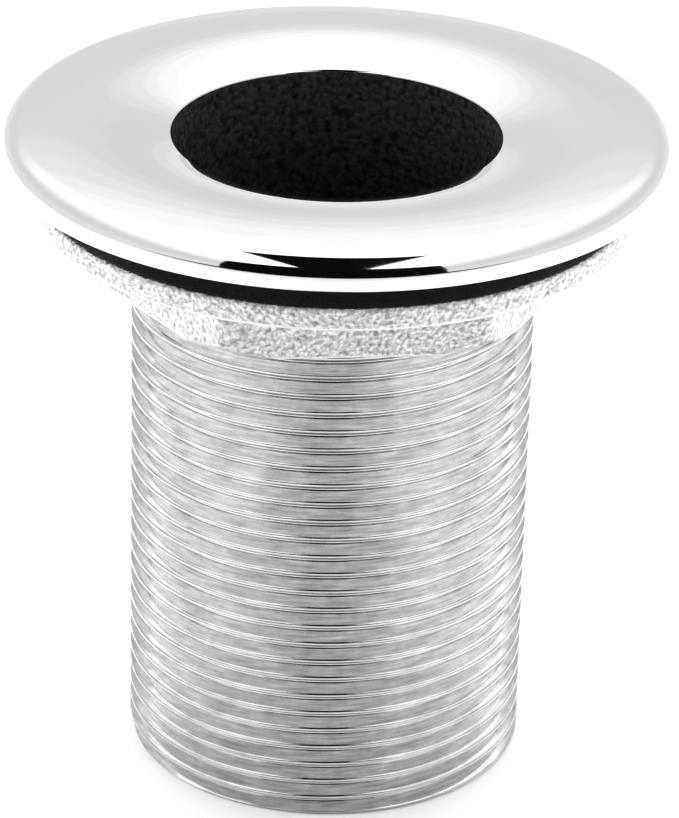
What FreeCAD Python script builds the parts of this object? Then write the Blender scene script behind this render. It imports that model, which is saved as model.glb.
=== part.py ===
import FreeCAD, Part
import math
import os

# Thru hull fitting: a flanged, externally threaded tube, a rubber gasket and a flanged hexagon nut.
# Millimetres. The origin is on the tube's axis in the plane of the flange's seating face.
# +Z runs up the axis, out of the flange's polished face; the tube hangs below.

V = FreeCAD.Vector
UP = V(0, 0, 1)

# Parallel pipe thread, size 1-1/2
thread_major_d = 47.803
thread_pitch = 2.309
thread_depth = 1.479
thread_angle = 55.0
crest_level = -17.57  # height of one crest on the -Y side, which sets where the thread starts

# Tube and flange
tube_length = 75.5
tube_wall = 3.17  # under the thread's roots
flange_height = 4.6  # at the crown, the highest ring of the polished face
flange_overhang = 4.2  # how far the rim stands out past the nut's flange
rim_height = 1.3  # upright part of the rim
lip_height = 2.73  # where the face rolls down into the bore
crown_inset = 9.7  # how far the crown lies inside the rim
face_radius = 54.0  # gentle section radius from the crown out to the rim's round-over
lip_radius = 0.4
seat_break = 0.3  # chamfer at the rim's lower edge
tube_end_chamfer = 0.5
relief_length = 3.0  # plain neck under the flange where the thread runs out
relief_depth = 0.2  # how far the neck lies below the thread's roots

# Gasket
gasket_thickness = 3.9
gasket_inset = 0.0  # how far its edge lies inside the edge of the nut's flange
gasket_edge = 0.5
gasket_clearance = 0.4  # radial, over the thread's crests

# Nut
nut_flange_width = 11.1  # radial, past the thread's crests
nut_flange_thickness = 2.8
nut_flange_edge = 0.5
nut_height = 9.8
hex_wall = 2.9  # from the thread's crests to a flat
hex_turn = 6.0  # degrees the front flat is turned about the axis from facing -Y
hex_chamfer = 1.6  # height of the bevel on the corners at the nut's lower end
hex_chamfer_angle = 30.0
nut_mouth_chamfer = 0.6  # how far each end of the nut's thread is opened beyond its roots
crest_clearance = 0.25  # radial, between the nut's thread and the tube's
flank_clearance = 0.15  # square to the flanks

HALF_ANGLE = math.radians(thread_angle / 2)
MAJOR_R = thread_major_d / 2
MINOR_R = MAJOR_R - thread_depth
FLANK_RISE = thread_depth * math.tan(HALF_ANGLE)
CREST_WIDTH = thread_pitch / 2 - FLANK_RISE
BORE_R = MINOR_R - tube_wall
NUT_FLANGE_R = MAJOR_R + nut_flange_width
FLANGE_R = NUT_FLANGE_R + flange_overhang
GASKET_R = NUT_FLANGE_R - gasket_inset
HEX_CORNER_R = (MAJOR_R + hex_wall) / math.cos(math.pi / 6)
NUT_TOP = -gasket_thickness
NUT_BOTTOM = NUT_TOP - nut_height
NECK_R = MINOR_R - relief_depth
HELIX_POINTS = 24
LATHE_REACH = 10.0  # how far cutting shapes pass beyond the solids they trim

os.makedirs("parts", exist_ok=True)


def lathe(points):
    """The solid swept by turning a closed outline of (radius, height) points about the axis."""
    wire = Part.makePolygon([V(r, 0, z) for r, z in points + points[:1]])
    return Part.Face(wire).revolve(V(0, 0, 0), UP, 360)


def drum(radius, low, high):
    """A cylinder on the axis between two heights."""
    return Part.makeCylinder(radius, high - low, V(0, 0, low))


def rounded_disc(radius, low, high, edge):
    """A disc on the axis with both of its rims rounded."""
    disc = drum(radius, low, high)
    rims = [e for e in disc.Edges if e.Closed and e.BoundBox.ZLength < edge]
    return disc.makeFillet(edge, rims)


def helix_turn(radius, start):
    """One right-hand turn of a helix that starts on +X, as a spline with its true end tangents."""
    angles = [2 * math.pi * i / HELIX_POINTS for i in range(HELIX_POINTS + 1)]
    climb = thread_pitch / (2 * math.pi)
    points = [V(radius * math.cos(a), radius * math.sin(a), start + climb * a) for a in angles]
    along = V(0, radius, climb)
    curve = Part.BSplineCurve()
    curve.interpolate(
        Points=points, Parameters=angles, InitialTangent=along, FinalTangent=along, Scale=False
    )
    return curve.toShape()


def thread_section(minor_r, major_r, crest_width):
    """(radius, height) of the four corners of one ridge, from its lower root up to its upper root."""
    rise = (major_r - minor_r) * math.tan(HALF_ANGLE)
    return [(minor_r, 0), (major_r, rise), (major_r, rise + crest_width), (minor_r, 2 * rise + crest_width)]


def ridge_end(section, level):
    """The flat face across one pitch of the rod, in the half plane of +X, at the start of a ridge."""
    edge = [(0, 0)] + section + [(section[0][0], thread_pitch), (0, thread_pitch)]
    return Part.Face(Part.makePolygon([V(r, 0, level + z) for r, z in edge + edge[:1]]))


def threaded_rod(minor_r, major_r, crest_width, low, high):
    """A solid right-hand threaded rod that covers the heights between low and high.

    Each turn is four ruled strips between helices: rising flank, crest, falling flank, root. A
    helicoid from the axis to the root helix and one flat face across the ridge close each end.
    """
    section = thread_section(minor_r, major_r, crest_width)
    # the crest's middle passes crest_level three quarters of a turn after +X
    middle = section[1][1] + crest_width / 2
    phase = crest_level - 0.75 * thread_pitch - middle
    first = math.floor((low - thread_pitch - phase) / thread_pitch)
    start = phase + first * thread_pitch
    turns = math.ceil((high - start) / thread_pitch)
    corners = section + [(minor_r, thread_pitch)]
    helices = [helix_turn(r, start + z) for r, z in corners]
    strips = [Part.makeRuledSurface(a, b) for a, b in zip(helices, helices[1:])]
    faces = [s.translated(UP * (thread_pitch * k)) for k in range(turns) for s in strips]
    for level in (start, start + turns * thread_pitch):
        core = Part.makeLine(V(0, 0, level), V(0, 0, level + thread_pitch))
        faces.append(Part.makeRuledSurface(core, helix_turn(minor_r, level)))
        faces.append(ridge_end(section, level))
    shell = Part.Shell(faces)
    shell.sewShape()
    solid = Part.Solid(shell)
    if solid.Volume < 0:
        solid.reverse()
    return solid


def on_arc(centre, radius, degrees):
    """A point in the section plane at an angle round a centre, counted from outward towards up."""
    a = math.radians(degrees)
    return centre + V(math.cos(a), 0, math.sin(a)) * radius


def section_arc(centre, radius, start, end):
    """An arc in the section plane between two angles in degrees."""
    ends = [on_arc(centre, radius, a) for a in (start, (start + end) / 2, end)]
    return Part.Arc(*ends).toShape()


def head():
    """The bored flange on its relief neck.

    Its face is one smooth curve of four arcs: the lip at the bore, a roll up to the crown, a gentle
    fall outward, and the rim's round-over. Each centre is placed so that neighbours share a tangent.
    """
    crown_r = FLANGE_R - crown_inset
    lip = V(BORE_R + lip_radius, 0, lip_height - lip_radius)
    run, rise = crown_r - lip.x, flange_height - lip.z
    roll_radius = (run**2 + rise**2 - lip_radius**2) / (2 * (rise - lip_radius))
    roll = V(crown_r, 0, flange_height - roll_radius)
    run, rise = FLANGE_R - crown_r, flange_height - rim_height
    rim_radius = (2 * face_radius * rise - run**2 - rise**2) / (2 * (face_radius - run))
    rim = V(FLANGE_R - rim_radius, 0, rim_height)
    face = V(crown_r, 0, flange_height - face_radius)
    lip_angle = math.degrees(math.atan2(lip.z - roll.z, lip.x - roll.x))
    rim_angle = math.degrees(math.atan2(rim.z - face.z, rim.x - face.x))
    rim_top = V(FLANGE_R, 0, rim_height)
    shoulder = V(FLANGE_R, 0, seat_break)
    corners = [
        rim_top,
        shoulder,
        V(FLANGE_R - seat_break, 0, 0),
        V(NECK_R, 0, 0),
        V(NECK_R, 0, -relief_length),
        V(BORE_R, 0, -relief_length),
        V(BORE_R, 0, lip.z),
    ]
    outline = [Part.makeLine(a, b) for a, b in zip(corners, corners[1:])]
    outline += [
        section_arc(lip, lip_radius, 180, lip_angle),
        section_arc(roll, roll_radius, lip_angle, 90),
        section_arc(face, face_radius, 90, rim_angle),
        section_arc(rim, rim_radius, rim_angle, 0),
    ]
    return Part.Face(Part.Wire(outline)).revolve(V(0, 0, 0), UP, 360)


def thru_hull_body():
    """Flange, relief neck and threaded tube in one piece, bored through.

    The head and the thread meet in the ring where the neck ends.
    """
    outside = MAJOR_R + LATHE_REACH
    envelope = lathe([
        (0, -tube_length),
        (MAJOR_R - tube_end_chamfer, -tube_length),
        (outside, -tube_length + tube_end_chamfer + LATHE_REACH),
        (outside, -relief_length - (outside - NECK_R)),
        (NECK_R, -relief_length),
        (0, -relief_length),
    ])
    rod = threaded_rod(MINOR_R, MAJOR_R, CREST_WIDTH, -tube_length, -relief_length)
    thread = rod.common(envelope).cut(drum(BORE_R, -tube_length - LATHE_REACH, LATHE_REACH))
    return thread.fuse(head()).removeSplitter()


def gasket():
    """A flat rubber ring with rounded outer edges."""
    ring = rounded_disc(GASKET_R, -gasket_thickness, 0, gasket_edge)
    return ring.cut(drum(MAJOR_R + gasket_clearance, -gasket_thickness - LATHE_REACH, LATHE_REACH))


def hexagon():
    """The nut's hexagon, its corners bevelled at the lower end."""
    turns = [math.radians(hex_turn + 60 * i) for i in range(7)]
    ring = [V(HEX_CORNER_R * math.cos(a), HEX_CORNER_R * math.sin(a), NUT_BOTTOM) for a in turns]
    prism = Part.Face(Part.makePolygon(ring)).extrude(UP * (nut_height - nut_flange_thickness / 2))
    slope = math.tan(math.radians(hex_chamfer_angle))
    inset = hex_chamfer / slope
    wide = HEX_CORNER_R + LATHE_REACH
    bevel = lathe([
        (0, NUT_BOTTOM),
        (HEX_CORNER_R - inset, NUT_BOTTOM),
        (wide, NUT_BOTTOM + (LATHE_REACH + inset) * slope),
        (wide, LATHE_REACH),
        (0, LATHE_REACH),
    ])
    return prism.common(bevel)


def flange_nut():
    """Hexagon and round flange in one piece, threaded to run on the tube."""
    disc = rounded_disc(NUT_FLANGE_R, NUT_TOP - nut_flange_thickness, NUT_TOP, nut_flange_edge)
    blank = disc.fuse(hexagon()).removeSplitter()
    # the larger radii already carry the flanks apart by the crest clearance's share
    crest = CREST_WIDTH + 2 * (flank_clearance / math.cos(HALF_ANGLE) - crest_clearance * math.tan(HALF_ANGLE))
    tap = threaded_rod(MINOR_R + crest_clearance, MAJOR_R + crest_clearance, crest, NUT_BOTTOM, NUT_TOP)
    mouth_r = MAJOR_R + crest_clearance + nut_mouth_chamfer
    throat_r = MINOR_R + crest_clearance / 2
    flare = mouth_r - throat_r
    mouths = [
        lathe([(0, level - side), (mouth_r + 1, level - side), (mouth_r + 1, level), (mouth_r, level),
               (throat_r, level + side * flare), (0, level + side * flare)])
        for level, side in ((NUT_BOTTOM, 1), (NUT_TOP, -1))
    ]
    return blank.cut([tap] + mouths).removeSplitter()


for node, shape in (
    ("thru_hull_body", thru_hull_body()),
    ("gasket", gasket()),
    ("flange_nut", flange_nut()),
):
    shape.exportStep("parts/" + node + ".step")
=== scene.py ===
import math

import bpy
import numpy as np
from mathutils import Matrix, Vector


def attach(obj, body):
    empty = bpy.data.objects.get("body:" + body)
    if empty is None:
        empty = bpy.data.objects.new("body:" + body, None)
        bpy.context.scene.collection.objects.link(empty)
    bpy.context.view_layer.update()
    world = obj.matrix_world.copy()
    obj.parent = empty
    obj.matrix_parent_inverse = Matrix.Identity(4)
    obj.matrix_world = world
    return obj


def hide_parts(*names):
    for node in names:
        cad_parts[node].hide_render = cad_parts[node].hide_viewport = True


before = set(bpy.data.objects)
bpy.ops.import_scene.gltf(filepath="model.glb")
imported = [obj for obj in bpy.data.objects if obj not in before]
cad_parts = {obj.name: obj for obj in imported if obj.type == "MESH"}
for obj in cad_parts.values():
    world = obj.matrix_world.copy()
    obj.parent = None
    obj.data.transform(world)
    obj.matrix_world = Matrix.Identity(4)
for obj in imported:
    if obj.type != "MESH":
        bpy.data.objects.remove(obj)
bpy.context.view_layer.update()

# Thru hull fitting: polished flange on a threaded tube, rubber gasket and cast hexagon nut.
# Metres, +Z up the tube's axis, origin in the flange's seating plane.
MM = 0.001
TURN = 2 * math.pi

# Parallel pipe thread, size 1-1/2, with rounded crests and roots
PITCH = 2.309 * MM
MAJOR_R = 47.803 / 2 * MM
THREAD_DEPTH = 1.479 * MM
MINOR_R = MAJOR_R - THREAD_DEPTH
HALF_ANGLE = math.radians(27.5)
ROUND_R = 0.137329 * PITCH  # the standard's rounding of crests and roots
CREST_LEVEL = -17.57 * MM
RIDGE_SHIFT = CREST_LEVEL + PITCH / 4  # height of a crest on the +X side

# Tube and flange
TUBE_END = -75.5 * MM
END_CHAMFER = 0.5 * MM
TUBE_WALL = 3.17 * MM  # under the thread's roots
BORE_R = MINOR_R - TUBE_WALL
BORE_END_ROUND = 0.3 * MM
NECK_R = MINOR_R - 0.2 * MM
NECK_END = -3.0 * MM
FLANGE_R = 39.2 * MM
FLANGE_TOP = 4.6 * MM
CROWN_R = FLANGE_R - 9.7 * MM
RIM_TOP = 1.3 * MM
LIP_TOP = 2.73 * MM
LIP_ROUND = 0.4 * MM
FACE_ROUND = 54.0 * MM
SEAT_BREAK = 0.3 * MM

# Gasket
GASKET_R = 35.0 * MM
GASKET_HOLE_R = MAJOR_R + 0.4 * MM
GASKET_UNDER = -3.9 * MM
GASKET_EDGE = 0.5 * MM

# Nut
NUT_TOP = GASKET_UNDER
NUT_FLANGE_R = 35.0 * MM
NUT_FLANGE_UNDER = NUT_TOP - 2.8 * MM
NUT_UNDER = NUT_TOP - 9.8 * MM
NUT_EDGE = 0.5 * MM
HEX_FLAT_R = 26.8 * MM
HEX_TURN = math.radians(6.0)
HEX_CORNER_ROUND = 1.2 * MM
HEX_BEVEL = 1.6 * MM
HEX_BEVEL_SLOPE = math.tan(math.radians(30.0))
HEX_FILLET = 0.7 * MM  # between the hexagon and the nut's flange
NUT_THREAD_GAP = 0.25 * MM
NUT_MOUTH_R = MAJOR_R + NUT_THREAD_GAP + 0.6 * MM

# Mesh
COLUMNS = 192
NUT_COLUMNS = 360
MERGE_STEP = 1e-8


def arc(centre, radius, start, end, steps):
    """(radius, height) points on a circle in the section plane.

    p(a) = centre + radius (cos a, sin a), with a going from start to end in degrees.
    """
    a = np.radians(np.linspace(start, end, steps))
    return [(centre[0] + radius * c, centre[1] + radius * s) for c, s in zip(np.cos(a), np.sin(a))]


def along(a, b, steps):
    """Evenly spaced points after a on the straight line to b: p(t) = a + t (b - a), t = 1/n .. 1."""
    return [(a[0] + (b[0] - a[0]) * t, a[1] + (b[1] - a[1]) * t) for t in np.linspace(0, 1, steps + 1)[1:]]


def ridge(phase):
    """Radius of the tube's thread at an axial distance from the middle of a crest.

    Crest: r = R - rho + sqrt(rho^2 - u^2) while u < rho cos(27.5 deg); root: the same arc turned
    outward about half a pitch; between them a flank that falls 1 / tan(27.5 deg) per unit.
    """
    u = np.abs((phase + PITCH / 2) % PITCH - PITCH / 2)
    w = PITCH / 2 - u
    reach = ROUND_R * math.cos(HALF_ANGLE)
    crest = MAJOR_R - ROUND_R + np.sqrt(np.maximum(ROUND_R**2 - u**2, 0))
    root = MINOR_R + ROUND_R - np.sqrt(np.maximum(ROUND_R**2 - w**2, 0))
    shoulder = MAJOR_R - ROUND_R + ROUND_R * math.sin(HALF_ANGLE)
    flank = shoulder - (u - reach) / math.tan(HALF_ANGLE)
    return np.where(u < reach, crest, np.where(w < reach, root, flank))


def pitch_rows():
    """Axial places of the mesh's rows within one pitch, dense round the crest and the root."""
    tilt = math.degrees(math.asin(math.cos(HALF_ANGLE)))
    crest = ROUND_R * np.sin(np.radians(np.linspace(-tilt, tilt, 7)))
    root = PITCH / 2 + ROUND_R * np.sin(np.radians(np.linspace(-tilt, tilt, 5)))
    return np.concatenate([crest, root])


def helical_rows(low, high, radius_at, columns):
    """Rows that climb with a right-hand thread between two level circles.

    Row k at angle t stands at z = z_k + P t / 2 pi, held between low and high, with radius
    radius_at(z, t). Rows past either end lie on its circle, and merge there.
    """
    rows = pitch_rows()
    start = RIDGE_SHIFT + (math.floor((low - RIDGE_SHIFT) / PITCH) - 2) * PITCH
    turns = math.ceil((high - start) / PITCH) + 1
    base = (start + np.arange(turns)[:, None] * PITCH + rows[None, :]).ravel()
    t = TURN * np.arange(columns) / columns
    z = np.clip(base[:, None] + PITCH * t[None, :] / TURN, low, high)
    return radius_at(z, t[None, :]), z, len(rows)


def level_rows(points, columns):
    """Rows of a turned surface: every (radius, height) point becomes a level circle."""
    p = np.array(points)
    return np.repeat(p[:, :1], columns, 1), np.repeat(p[:, 1:], columns, 1)


def block_quads(first, count, climb, total, columns):
    """Quads from each row of a block to the next, and from its last row on to the block after it.

    Vertex j of row i has the number i n + j. In a block with a climb the last column joins the first
    one climb rows higher, where the thread has risen by a pitch.
    """
    rows = np.arange(first, first + count)
    j = np.arange(columns)[None, :]
    k = (j + 1) % columns
    quads = []
    for low, high, step in ((rows[:-1], rows[1:], climb), (rows[-1:], (rows[-1:] + 1) % total, 0)):
        a, d = np.repeat(low[:, None], columns, 1), np.repeat(high[:, None], columns, 1)
        b, c = a.copy(), d.copy()
        if step:
            b[:, -1] = np.minimum(low + step, rows[-1])
            c[:, -1] = np.minimum(high + step, rows[-1])
        corners = (a * columns + j, b * columns + k, c * columns + k, d * columns + j)
        quads.append(np.stack(corners, -1).reshape(-1, 4))
    return np.concatenate(quads)


def weld(points, quads, zones):
    """Merges points that coincide and drops the faces that vanish.

    The last result marks each corner that is the same point as the next one, so that a quad with one
    such corner can become a triangle.
    """
    grid = np.round(points / MERGE_STEP).astype(np.int64)
    _, keep, merged = np.unique(grid, axis=0, return_index=True, return_inverse=True)
    quads = merged.reshape(-1)[quads]
    same = quads == np.roll(quads, -1, axis=1)
    good = same.sum(1) <= 1
    good &= (quads[:, 0] != quads[:, 2]) & (quads[:, 1] != quads[:, 3])
    return points[keep], quads[good], zones[good], same[good]


def face_outwards(points, quads, same):
    """Turns all faces over if the mesh is inside out, and adds their area vectors to the results.

    Area vector: (p2 - p0) x (p3 - p1) / 2. The mesh is right way out when the sum of each face's
    centre . area vector, three times the volume, is positive.
    """
    corners = points[quads]
    area = np.cross(corners[:, 2] - corners[:, 0], corners[:, 3] - corners[:, 1]) / 2
    if (area * corners.mean(1)).sum() < 0:
        return quads[:, ::-1], np.roll(same[:, ::-1], -1, axis=1), -area
    return quads, same, area


def ring_mesh(name, blocks, materials):
    """A closed ring from blocks of rows that follow one another round its section.

    A vertex is (R cos t, R sin t, Z), t = 2 pi j / n, and its normal is the sum of its faces' area
    vectors at unit length. Each block is (R, Z, climb, zone), where zone numbers its material.
    """
    radius = np.concatenate([block[0] for block in blocks])
    height = np.concatenate([block[1] for block in blocks])
    total, columns = radius.shape
    t = TURN * np.arange(columns) / columns
    points = np.stack([radius * np.cos(t), radius * np.sin(t), height], -1).reshape(-1, 3)
    quads, zones = [], []
    first = 0
    for rows, _, climb, zone in blocks:
        quads.append(block_quads(first, len(rows), climb, total, columns))
        zones.append(np.full(len(quads[-1]), zone))
        first += len(rows)
    points, quads, zones, same = weld(points, np.concatenate(quads), np.concatenate(zones))
    quads, same, area = face_outwards(points, quads, same)
    faces = [tuple(v for v, s in zip(q, d) if not s) for q, d in zip(quads.tolist(), same.tolist())]
    mesh = bpy.data.meshes.new(name)
    mesh.from_pydata(points.tolist(), [], faces)
    mesh.polygons.foreach_set("material_index", zones.astype(np.int32))
    mesh.polygons.foreach_set("use_smooth", np.ones(len(faces), bool))
    for finish in materials:
        mesh.materials.append(finish)
    normals = np.zeros((len(points), 3))
    for corner in range(4):
        np.add.at(normals, quads[:, corner], np.where(same[:, corner:corner + 1], 0, area))
    normals /= np.maximum(np.linalg.norm(normals, axis=1, keepdims=True), 1e-20)
    mesh.normals_split_custom_set_from_vertices(normals.tolist())
    obj = bpy.data.objects.new(name, mesh)
    bpy.context.scene.collection.objects.link(obj)
    return obj


# ---------------------------------------------------------------- materials


def material(name):
    """A new material and its node tree with a Principled BSDF at the output."""
    m = bpy.data.materials.new(name)
    m.use_nodes = True
    return m, m.node_tree, m.node_tree.nodes["Principled BSDF"]


def node(tree, kind, inputs=None, **settings):
    """Adds a node; inputs maps a socket's name or number to a constant or to another socket."""
    n = tree.nodes.new(kind)
    for key, value in settings.items():
        setattr(n, key, value)
    for key, value in (inputs or {}).items():
        if isinstance(value, bpy.types.NodeSocket):
            tree.links.new(value, n.inputs[key])
        else:
            n.inputs[key].default_value = value
    return n


def math_node(tree, operation, *values):
    """The result of a Math node on sockets or constants."""
    return node(tree, "ShaderNodeMath", dict(enumerate(values)), operation=operation).outputs[0]


def spread(tree, value, low, high, to_low, to_high):
    """Maps a value from one range to another, held at the ends."""
    return node(tree, "ShaderNodeMapRange", {"Value": value, "From Min": low, "From Max": high,
                                             "To Min": to_low, "To Max": to_high}).outputs["Result"]


def grey_mix(tree, factor, dark, light):
    """A colour between two greys given as (r, g, b)."""
    n = node(tree, "ShaderNodeMix", {0: factor}, data_type="RGBA")
    n.inputs[6].default_value = (*dark, 1)
    n.inputs[7].default_value = (*light, 1)
    return n.outputs[2]


def new_group(name, inputs, outputs):
    """A node group with named inputs (with defaults) and outputs."""
    g = bpy.data.node_groups.new(name, "ShaderNodeTree")
    for label, kind, default in inputs:
        s = g.interface.new_socket(label, in_out="INPUT", socket_type=kind)
        s.default_value = default
    for label, kind in outputs:
        g.interface.new_socket(label, in_out="OUTPUT", socket_type=kind)
    return g, g.nodes.new("NodeGroupInput"), g.nodes.new("NodeGroupOutput")


def cast_grain_group():
    """Blasted or moulded grain: rounded pimples with finer grit on top, as a mask and a bumped normal."""
    g, gi, go = new_group(
        "cast grain",
        [("Grain per metre", "NodeSocketFloat", 2500.0), ("Depth", "NodeSocketFloat", 0.0001),
         ("Strength", "NodeSocketFloat", 0.5)],
        [("Mask", "NodeSocketFloat"), ("Normal", "NodeSocketVector")])
    place = node(g, "ShaderNodeTexCoord").outputs["Object"]
    cells = node(g, "ShaderNodeTexVoronoi", {"Vector": place, "Scale": gi.outputs[0], "Randomness": 1.0},
                 feature="SMOOTH_F1")
    grit_scale = math_node(g, "MULTIPLY", gi.outputs[0], 0.8)
    grit = node(g, "ShaderNodeTexNoise", {"Vector": place, "Scale": grit_scale, "Detail": 3.0,
                                          "Roughness": 0.6})
    height = math_node(g, "ADD", math_node(g, "MULTIPLY", cells.outputs["Distance"], -0.6),
                       grit.outputs[0])
    bump = node(g, "ShaderNodeBump", {"Height": height, "Distance": gi.outputs[1], "Strength": gi.outputs[2]})
    g.links.new(spread(g, height, -0.15, 0.5, 0.0, 1.0), go.inputs["Mask"])
    g.links.new(bump.outputs[0], go.inputs["Normal"])
    return g


def around_axis_group():
    """Streaks that run round the tube's axis, like the marks a lathe tool leaves.

    Noise is read at (breaks cos t, breaks sin t, rings (z + r)), so that it has no seam and stretches
    round the axis.
    """
    g, gi, go = new_group(
        "turned streaks",
        [("Rings per metre", "NodeSocketFloat", 4000.0), ("Breaks", "NodeSocketFloat", 4.0)],
        [("Mask", "NodeSocketFloat")])
    place = node(g, "ShaderNodeTexCoord").outputs["Object"]
    xyz = node(g, "ShaderNodeSeparateXYZ", {0: place})
    x, y, z = xyz.outputs
    square = math_node(g, "ADD", math_node(g, "MULTIPLY", x, x), math_node(g, "MULTIPLY", y, y))
    far = math_node(g, "SQRT", square)
    stretch = math_node(g, "DIVIDE", gi.outputs[1], far)
    rings = math_node(g, "MULTIPLY", math_node(g, "ADD", z, far), gi.outputs[0])
    where = node(g, "ShaderNodeCombineXYZ", {0: math_node(g, "MULTIPLY", x, stretch),
                                             1: math_node(g, "MULTIPLY", y, stretch), 2: rings})
    noise = node(g, "ShaderNodeTexNoise", {"Vector": where.outputs[0], "Scale": 1.0, "Detail": 3.0,
                                           "Roughness": 0.55})
    g.links.new(noise.outputs[0], go.inputs["Mask"])
    return g


GRAIN = cast_grain_group()
STREAKS = around_axis_group()


def use_group(tree, group, **inputs):
    """Places a node group, its inputs set by name with _ for a space."""
    n = tree.nodes.new("ShaderNodeGroup")
    n.node_tree = group
    for key, value in inputs.items():
        n.inputs[key.replace("_", " ")].default_value = value
    return n


def object_height(tree):
    """Height above the seating plane, in metres."""
    place = node(tree, "ShaderNodeTexCoord").outputs["Object"]
    return node(tree, "ShaderNodeSeparateXYZ", {0: place}).outputs[2]


def polished_material():
    """Mirror-polished stainless: soft buffing haze, faint wipe marks and a slight swell."""
    m, t, bsdf = material("polished stainless")
    place = node(t, "ShaderNodeTexCoord").outputs["Object"]
    haze = node(t, "ShaderNodeTexNoise", {"Vector": place, "Scale": 60.0, "Detail": 4.0, "Roughness": 0.6})
    streaks = use_group(t, STREAKS, Rings_per_metre=2500.0, Breaks=6.0)
    rough = math_node(t, "ADD", spread(t, haze.outputs[0], 0.35, 0.7, 0.03, 0.075),
                      spread(t, streaks.outputs[0], 0.45, 0.75, 0.0, 0.03))
    t.links.new(rough, bsdf.inputs["Roughness"])
    colour = grey_mix(t, haze.outputs[0], (0.80, 0.80, 0.81), (0.87, 0.87, 0.88))
    t.links.new(colour, bsdf.inputs["Base Color"])
    swell = node(t, "ShaderNodeTexNoise", {"Vector": place, "Scale": 90.0, "Detail": 2.0})
    bump = node(t, "ShaderNodeBump", {"Height": swell.outputs[0], "Distance": 0.02 * MM, "Strength": 0.4})
    t.links.new(bump.outputs[0], bsdf.inputs["Normal"])
    bsdf.inputs["Metallic"].default_value = 1.0
    return m


def machined_material():
    """Machined stainless thread: fine turned streaks in roughness, tone and height."""
    m, t, bsdf = material("machined stainless")
    streaks = use_group(t, STREAKS, Rings_per_metre=5200.0, Breaks=5.0)
    place = node(t, "ShaderNodeTexCoord").outputs["Object"]
    blotch = node(t, "ShaderNodeTexNoise", {"Vector": place, "Scale": 700.0, "Detail": 4.0,
                                            "Roughness": 0.65})
    t.links.new(spread(t, streaks.outputs[0], 0.3, 0.7, 0.07, 0.16), bsdf.inputs["Roughness"])
    tone = math_node(t, "ADD", math_node(t, "MULTIPLY", streaks.outputs[0], 0.75),
                     math_node(t, "MULTIPLY", blotch.outputs[0], 0.25))
    colour = grey_mix(t, spread(t, tone, 0.35, 0.65, 0.0, 1.0), (0.42, 0.42, 0.425), (0.68, 0.68, 0.685))
    t.links.new(colour, bsdf.inputs["Base Color"])
    bump = node(t, "ShaderNodeBump", {"Height": tone, "Distance": 0.01 * MM, "Strength": 0.35})
    t.links.new(bump.outputs[0], bsdf.inputs["Normal"])
    bsdf.inputs["Metallic"].default_value = 1.0
    return m


def bore_material():
    """The bore's as-cast skin with a sandy grain. Its near-black colour is partly the cast skin's own and
    partly painted shade, and it is painted lighter near the mouth, where light falls in from above.
    """
    m, t, bsdf = material("as cast bore with painted shade")
    grain = use_group(t, GRAIN, Grain_per_metre=1500.0, Depth=0.25 * MM, Strength=0.8)
    t.links.new(grain.outputs["Normal"], bsdf.inputs["Normal"])
    # painted light: the colour lightens towards the mouth, where light from above reaches into the bore
    painted_light_near_mouth = spread(t, object_height(t), -22.0 * MM, 2.0 * MM, 0.0, 1.0)
    painted_mouth_light = math_node(t, "MULTIPLY", painted_light_near_mouth, spread(t, grain.outputs["Mask"], 0.25, 0.85, 0.1, 1.0))
    # the near-black base colour is partly the cast skin and partly painted shade
    t.links.new(grey_mix(t, painted_mouth_light, (0.001, 0.001, 0.001), (0.06, 0.06, 0.06)), bsdf.inputs["Base Color"])
    t.links.new(spread(t, grain.outputs["Mask"], 0.2, 0.8, 0.75, 0.5), bsdf.inputs["Roughness"])
    bsdf.inputs["Specular IOR Level"].default_value = 0.15
    return m


def nut_material():
    """Bead-blasted stainless casting: bright, matt, pimpled, with painted highlights along its lower edges.
    """
    m, t, bsdf = material("blasted casting")
    grain = use_group(t, GRAIN, Grain_per_metre=2300.0, Depth=0.24 * MM, Strength=1.0)
    t.links.new(grain.outputs["Normal"], bsdf.inputs["Normal"])
    height = object_height(t)
    painted_edge_highlight = 0.0
    # painted highlight: the base colour is brightened in thin bands at the flange's lower edge and at the
    # nut's lower edge
    for edge in (NUT_FLANGE_UNDER + NUT_EDGE / 3, NUT_UNDER):
        away = math_node(t, "ABSOLUTE", math_node(t, "SUBTRACT", height, edge))
        painted_edge_highlight = math_node(t, "ADD", painted_edge_highlight, spread(t, away, 0.08 * MM, 0.28 * MM, 0.8, 0.0))
    tone = math_node(t, "ADD", grain.outputs["Mask"], painted_edge_highlight)
    t.links.new(grey_mix(t, tone, (0.20, 0.20, 0.198), (0.80, 0.80, 0.795)), bsdf.inputs["Base Color"])
    t.links.new(spread(t, grain.outputs["Mask"], 0.0, 1.0, 0.62, 0.42), bsdf.inputs["Roughness"])
    bsdf.inputs["Metallic"].default_value = 1.0
    return m


def rubber_material():
    """Black moulded rubber with a dry, slightly dusty skin."""
    m, t, bsdf = material("black rubber")
    grain = use_group(t, GRAIN, Grain_per_metre=3600.0, Depth=0.05 * MM, Strength=0.5)
    t.links.new(grain.outputs["Normal"], bsdf.inputs["Normal"])
    t.links.new(grey_mix(t, grain.outputs["Mask"], (0.001, 0.001, 0.001), (0.006, 0.006, 0.006)),
                bsdf.inputs["Base Color"])
    t.links.new(spread(t, grain.outputs["Mask"], 0.0, 1.0, 0.75, 0.55), bsdf.inputs["Roughness"])
    bsdf.inputs["Specular IOR Level"].default_value = 0.06
    return m


POLISHED, MACHINED, BORE = polished_material(), machined_material(), bore_material()
CASTING, RUBBER = nut_material(), rubber_material()

# ---------------------------------------------------------------- pieces


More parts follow.
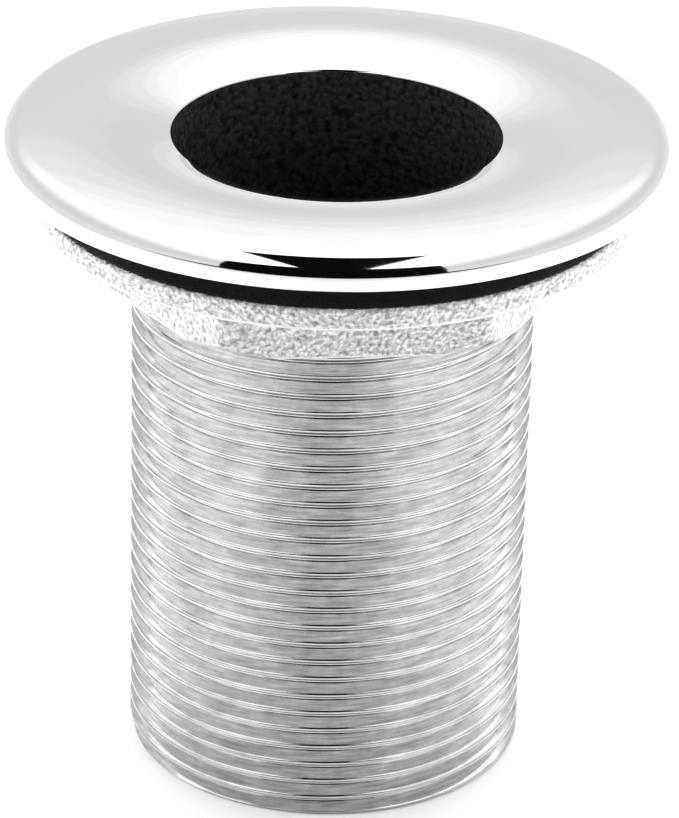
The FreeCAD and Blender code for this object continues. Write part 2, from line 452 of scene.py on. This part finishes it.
def tube_radius(z, t):
    """The tube's outside: the thread, held under the end chamfer and the cone at the neck."""
    thread = ridge(z - PITCH * t / TURN - RIDGE_SHIFT)
    end = MAJOR_R - END_CHAMFER + (z - TUBE_END)
    top = NECK_R + (NECK_END - z)
    return np.minimum(thread, np.minimum(end, top))


def angle_from(centre, point):
    """Degrees at which a point stands round a centre in the section plane."""
    return math.degrees(math.atan2(point[1] - centre[1], point[0] - centre[0]))


def flange_outside():
    """Section of the flange from the neck's root out under the seat, up the rim and in to the lip.

    The face is four arcs that share tangents: rim, gentle outer fall, roll inside the crown, lip. An
    arc of radius q centred at p touches one of radius Q centred below the crown where
    |p - centre| = Q - q, which fixes the rim's radius and the roll's.
    """
    run, rise = FLANGE_R - CROWN_R, FLANGE_TOP - RIM_TOP
    rim_round = (2 * FACE_ROUND * rise - run**2 - rise**2) / (2 * (FACE_ROUND - run))
    rim = (FLANGE_R - rim_round, RIM_TOP)
    fall = (CROWN_R, FLANGE_TOP - FACE_ROUND)
    lip = (BORE_R + LIP_ROUND, LIP_TOP - LIP_ROUND)
    run, rise = CROWN_R - lip[0], FLANGE_TOP - lip[1]
    roll_round = (run**2 + rise**2 - LIP_ROUND**2) / (2 * (rise - LIP_ROUND))
    roll = (CROWN_R, FLANGE_TOP - roll_round)
    rim_angle, lip_angle = angle_from(fall, rim), angle_from(roll, lip)
    foot, shoulder, corner = (FLANGE_R - SEAT_BREAK, 0.0), (FLANGE_R, SEAT_BREAK), (NECK_R, 0.0)
    return (
        along((NECK_R, NECK_END), corner, 3)
        + along(corner, foot, 6)
        + arc((foot[0], shoulder[1]), SEAT_BREAK, -70, 0, 4)
        + along(shoulder, (FLANGE_R, RIM_TOP), 5)
        + arc(rim, rim_round, 0, rim_angle, 22)[1:]
        + arc(fall, FACE_ROUND, rim_angle, 90, 12)[1:]
        + arc(roll, roll_round, 90, lip_angle, 22)[1:]
        + arc(lip, LIP_ROUND, lip_angle, 180, 7)[1:]
    )


def make_body():
    """Flange and tube as one closed ring: bore, end face, thread, neck and flange in turn."""
    wall_top = (BORE_R, LIP_TOP - LIP_ROUND)
    edge = (BORE_R + BORE_END_ROUND, TUBE_END + BORE_END_ROUND)
    bore = [wall_top] + along(wall_top, (BORE_R, edge[1]), 40)
    face = arc(edge, BORE_END_ROUND, 180, 270, 4)[1:]
    face += along((edge[0], TUBE_END), (MINOR_R - END_CHAMFER, TUBE_END), 2)
    thread_r, thread_z, climb = helical_rows(TUBE_END, NECK_END, tube_radius, COLUMNS)
    blocks = [
        (*level_rows(bore, COLUMNS), 0, 2),
        (*level_rows(face, COLUMNS), 0, 1),
        (thread_r, thread_z, climb, 1),
        (*level_rows(flange_outside(), COLUMNS), 0, 0),
    ]
    return ring_mesh("flanged_threaded_tube", blocks, [POLISHED, MACHINED, BORE])


def make_gasket():
    """Rubber washer: flat faces, rounded outer edges and a small bevel on the inner ones."""
    e = GASKET_EDGE
    bevel = e / 2
    outer = GASKET_R - e
    inner = GASKET_HOLE_R + bevel
    section = (
        along((inner, 0), (outer, 0), 8)
        + arc((outer, -e), e, 90, 0, 6)[1:]
        + along((GASKET_R, -e), (GASKET_R, GASKET_UNDER + e), 6)
        + arc((outer, GASKET_UNDER + e), e, 0, -90, 6)[1:]
        + along((outer, GASKET_UNDER), (inner, GASKET_UNDER), 8)
        + [(GASKET_HOLE_R, GASKET_UNDER + bevel)]
        + along((GASKET_HOLE_R, GASKET_UNDER + bevel), (GASKET_HOLE_R, -bevel), 4)
        + [(inner, 0)]
    )
    return ring_mesh("rubber_gasket", [(*level_rows(section, COLUMNS), 0, 0)], [RUBBER])


def hex_radius(t):
    """Radius of the hexagon at angle t, with its corners rounded.

    Flat: r = f / cos(u), u the angle from the flat's middle. Corner: the circle of radius q that
    touches both flats, r = c cos(v) + sqrt(q^2 - (c sin(v))^2), v the angle from the corner and
    c = (f - q) / cos(30 deg).
    """
    v = np.abs((t - HEX_TURN + math.pi / 6) % (math.pi / 3) - math.pi / 6)
    flat = HEX_FLAT_R / np.cos(math.pi / 6 - v)
    q = HEX_CORNER_ROUND
    c = (HEX_FLAT_R - q) / math.cos(math.pi / 6)
    corner = c * np.cos(v) + np.sqrt(np.maximum(q**2 - (c * np.sin(v))**2, 0))
    touch = math.atan2(math.tan(math.pi / 6) * (HEX_FLAT_R - q), HEX_FLAT_R)
    return np.where(math.pi / 6 - v > touch, corner, flat)


def nut_inside(z, t):
    """The nut's inside: the tube's ridge moved out by the gap, opened at both mouths."""
    thread = ridge(z - PITCH * t / TURN - RIDGE_SHIFT) + NUT_THREAD_GAP
    mouth = NUT_MOUTH_R - np.minimum(z - NUT_UNDER, NUT_TOP - z)
    return np.maximum(thread, mouth)


def make_nut():
    """Flanged hexagon nut: level rows whose radius follows the hexagon, and a climbing inner thread."""
    hexagon = hex_radius(TURN * np.arange(NUT_COLUMNS) / NUT_COLUMNS)
    e = NUT_EDGE
    outer = NUT_FLANGE_R - e
    flange = (
        along((NUT_MOUTH_R, NUT_TOP), (outer, NUT_TOP), 10)
        + arc((outer, NUT_TOP - e), e, 90, 0, 6)[1:]
        + along((NUT_FLANGE_R, NUT_TOP - e), (NUT_FLANGE_R, NUT_FLANGE_UNDER + e), 5)
        + arc((outer, NUT_FLANGE_UNDER + e), e, 0, -90, 6)[1:]
    )
    # below the flange a row is a radius at every angle, and a height
    rows = [(outer + (hexagon + HEX_FILLET - outer) * share, NUT_FLANGE_UNDER) for share in (0.25, 0.5, 0.75)]
    rows += [(hexagon + HEX_FILLET * (1 + math.cos(a)), NUT_FLANGE_UNDER - HEX_FILLET * (1 - math.sin(a)))
             for a in np.radians(np.linspace(90, 180, 6))]
    bevel_base = HEX_FLAT_R / math.cos(math.pi / 6) - HEX_BEVEL / HEX_BEVEL_SLOPE
    rows += [(np.minimum(hexagon, bevel_base + (z - NUT_UNDER) / HEX_BEVEL_SLOPE), z)
             for z in np.linspace(NUT_FLANGE_UNDER - HEX_FILLET, NUT_UNDER, 26)[1:]]
    low = np.minimum(hexagon, bevel_base)
    rows += [(low + (NUT_MOUTH_R - low) * share, NUT_UNDER) for share in (0.3, 0.6, 1.0)]
    hex_r = np.array([r for r, _ in rows])
    hex_z = np.repeat(np.array([[z] for _, z in rows]), NUT_COLUMNS, 1)
    thread_r, thread_z, climb = helical_rows(NUT_UNDER, NUT_TOP, nut_inside, NUT_COLUMNS)
    blocks = [
        (*level_rows(flange, NUT_COLUMNS), 0, 0),
        (hex_r, hex_z, 0, 0),
        (thread_r, thread_z, climb, 1),
    ]
    return ring_mesh("flanged_hexagon_nut", blocks, [CASTING, MACHINED])


body = make_body()
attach(body, "body")
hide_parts("thru_hull_body")
gasket = make_gasket()
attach(gasket, "seal")
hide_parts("gasket")
nut = make_nut()
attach(nut, "nut")
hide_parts("flange_nut")

# ---------------------------------------------------------------- floor, lights and camera


# A white tent, open towards the camera. Its radiances are those of its panels.
TENT_HALF, TENT_TOP = 1.3, 1.2
TENT_FRONT, TENT_BACK = -1.75, 1.6
SKIRT = -0.07  # foot of the walls
ROOF = 1.75
# a dark slot along the front of the roof
SLOT_HALF, SLOT_BACK = 0.32 * TENT_TOP, -0.08 * TENT_TOP
# the walls brighten upwards in steps of (top height, radiance)
WALLS = ((0.19, 0.89), (0.31, 0.84), (0.62, 0.785), (0.72, 0.81), (0.80, 0.87), (0.90, 0.94),
         (1.0, 1.04), (TENT_TOP, 1.12))
FLOOR_FRONT = -0.55
FLOOR_SHADE = 0.96
# the low panels left and right that light the floor: inner and outer side, ends, height above the floor
WASH_IN, WASH_OUT = 0.045, 0.45
WASH_FRONT, WASH_BACK = -0.22, 0.35
WASH_HEIGHT = 0.035
WASH = 1.3
# what lies beyond the tent
PALE, DARK = 0.93, 0.004


def softbox(name, place, facing, width, height, radiance):
    """A rectangular area light with a given radiance: power = pi x radiance x area."""
    data = bpy.data.lights.new(name, "AREA")
    data.shape, data.size, data.size_y = "RECTANGLE", width, height
    data.energy = math.pi * radiance * width * height
    obj = bpy.data.objects.new(name, data)
    back = -Vector(facing)
    level = Vector((1, 0, 0)) if facing[2] else Vector(facing).cross(Vector((0, 0, 1)))
    obj.matrix_world = standing(level, back.cross(level), back, place)
    obj.visible_camera = False
    bpy.context.scene.collection.objects.link(obj)
    return obj


def standing(right, up, back, place):
    """The matrix of a light or camera with these three axes at a place."""
    return Matrix([[right[i], up[i], back[i], place[i]] for i in range(3)] + [[0, 0, 0, 1]])


def roof_panel(name, x0, x1, y0, y1):
    """A flat light that faces down and fills a rectangle of the tent's roof."""
    softbox(name, ((x0 + x1) / 2, (y0 + y1) / 2, TENT_TOP), (0, 0, -1), x1 - x0, y1 - y0, ROOF)


def make_roof():
    """Three panels that leave the slot open."""
    roof_panel("left roof", -TENT_HALF, -SLOT_HALF, TENT_FRONT, TENT_BACK)
    roof_panel("right roof", SLOT_HALF, TENT_HALF, TENT_FRONT, TENT_BACK)
    roof_panel("middle roof", -SLOT_HALF, SLOT_HALF, SLOT_BACK, TENT_BACK)


def make_floor_washes():
    """Two low panels over the floor, so that the tube's sides look out on a brighter floor than its front."""
    for side in (-1, 1):
        place = (side * (WASH_IN + WASH_OUT) / 2, (WASH_FRONT + WASH_BACK) / 2, TUBE_END + WASH_HEIGHT)
        wash = softbox("floor wash", place, (0, 0, -1), WASH_OUT - WASH_IN, WASH_BACK - WASH_FRONT, WASH)
        wash.visible_glossy = False


def make_walls():
    """The tent's back and both its sides, in level bands."""
    foot = SKIRT
    for top, radiance in WALLS:
        middle, height = (foot + top) / 2, top - foot
        softbox("backdrop", (0, TENT_BACK, middle), (0, -1, 0), 2 * TENT_HALF, height, radiance)
        for side in (-1, 1):
            place = (side * TENT_HALF, (TENT_FRONT + TENT_BACK) / 2, middle)
            softbox("side wall", place, (-side, 0, 0), TENT_BACK - TENT_FRONT, height, radiance)
        foot = top


def make_floor():
    """A flat rectangle under the fitting, plain and pale from above and clear from below."""
    mesh = bpy.data.meshes.new("floor")
    front = [(x, FLOOR_FRONT, TUBE_END) for x in (-TENT_HALF, TENT_HALF)]
    back = [(x, TENT_BACK, TUBE_END) for x in (TENT_HALF, -TENT_HALF)]
    mesh.from_pydata(front + back, [], [(0, 1, 2, 3)])
    obj = bpy.data.objects.new("floor", mesh)
    bpy.context.scene.collection.objects.link(obj)
    m, t, bsdf = material("floor")
    bsdf.inputs["Base Color"].default_value = (FLOOR_SHADE, FLOOR_SHADE, FLOOR_SHADE, 1)
    bsdf.inputs["Roughness"].default_value = 0.9
    under = node(t, "ShaderNodeNewGeometry").outputs["Backfacing"]
    clear = node(t, "ShaderNodeBsdfTransparent").outputs[0]
    one_way = node(t, "ShaderNodeMixShader", {0: under, 1: bsdf.outputs[0], 2: clear}).outputs[0]
    t.links.new(one_way, t.nodes["Material Output"].inputs["Surface"])
    mesh.materials.append(m)


def make_world():
    """Beyond the tent: pale to look at, dark in reflections except from far below."""
    world = bpy.data.worlds.new("studio")
    world.use_nodes = True
    t = world.node_tree
    seen = node(t, "ShaderNodeLightPath").outputs["Is Camera Ray"]
    way = node(t, "ShaderNodeTexCoord").outputs["Generated"]
    rise = node(t, "ShaderNodeSeparateXYZ", {0: way}).outputs[2]
    pale = math_node(t, "MAXIMUM", seen, spread(t, rise, -0.25, -0.2, 1.0, 0.0))
    background = t.nodes["Background"]
    t.links.new(spread(t, pale, 0.0, 1.0, DARK, PALE), background.inputs["Strength"])
    background.inputs["Color"].default_value = (1, 1, 1, 1)
    bpy.context.scene.world = world


def make_camera():
    """Long lens looking down on the fitting from the front, leaning a little to the left."""
    elevation, lean = math.radians(26.07), math.radians(1.402)
    distance, right_shift, up_shift = 0.5465, 1.094 * MM, -0.622 * MM
    target = Vector((0, 0, -32.525 * MM))
    back = Vector((0, -math.cos(elevation), math.sin(elevation)))
    right = Vector((1, 0, 0))
    up = back.cross(right)
    place = target + back * distance + right * right_shift + up * up_shift
    across = right * math.cos(lean) + up * math.sin(lean)
    upright = up * math.cos(lean) - right * math.sin(lean)
    data = bpy.data.cameras.new("camera")
    data.sensor_width, data.lens = 36.0, 200.993
    data.clip_start, data.clip_end = 0.01, 50
    obj = bpy.data.objects.new("camera", data)
    obj.matrix_world = standing(across, upright, back, place)
    bpy.context.scene.collection.objects.link(obj)
    bpy.context.scene.camera = obj


make_roof()
make_floor_washes()
make_walls()
make_floor()
make_world()
make_camera()
bpy.context.scene.view_settings.view_transform = "Standard"
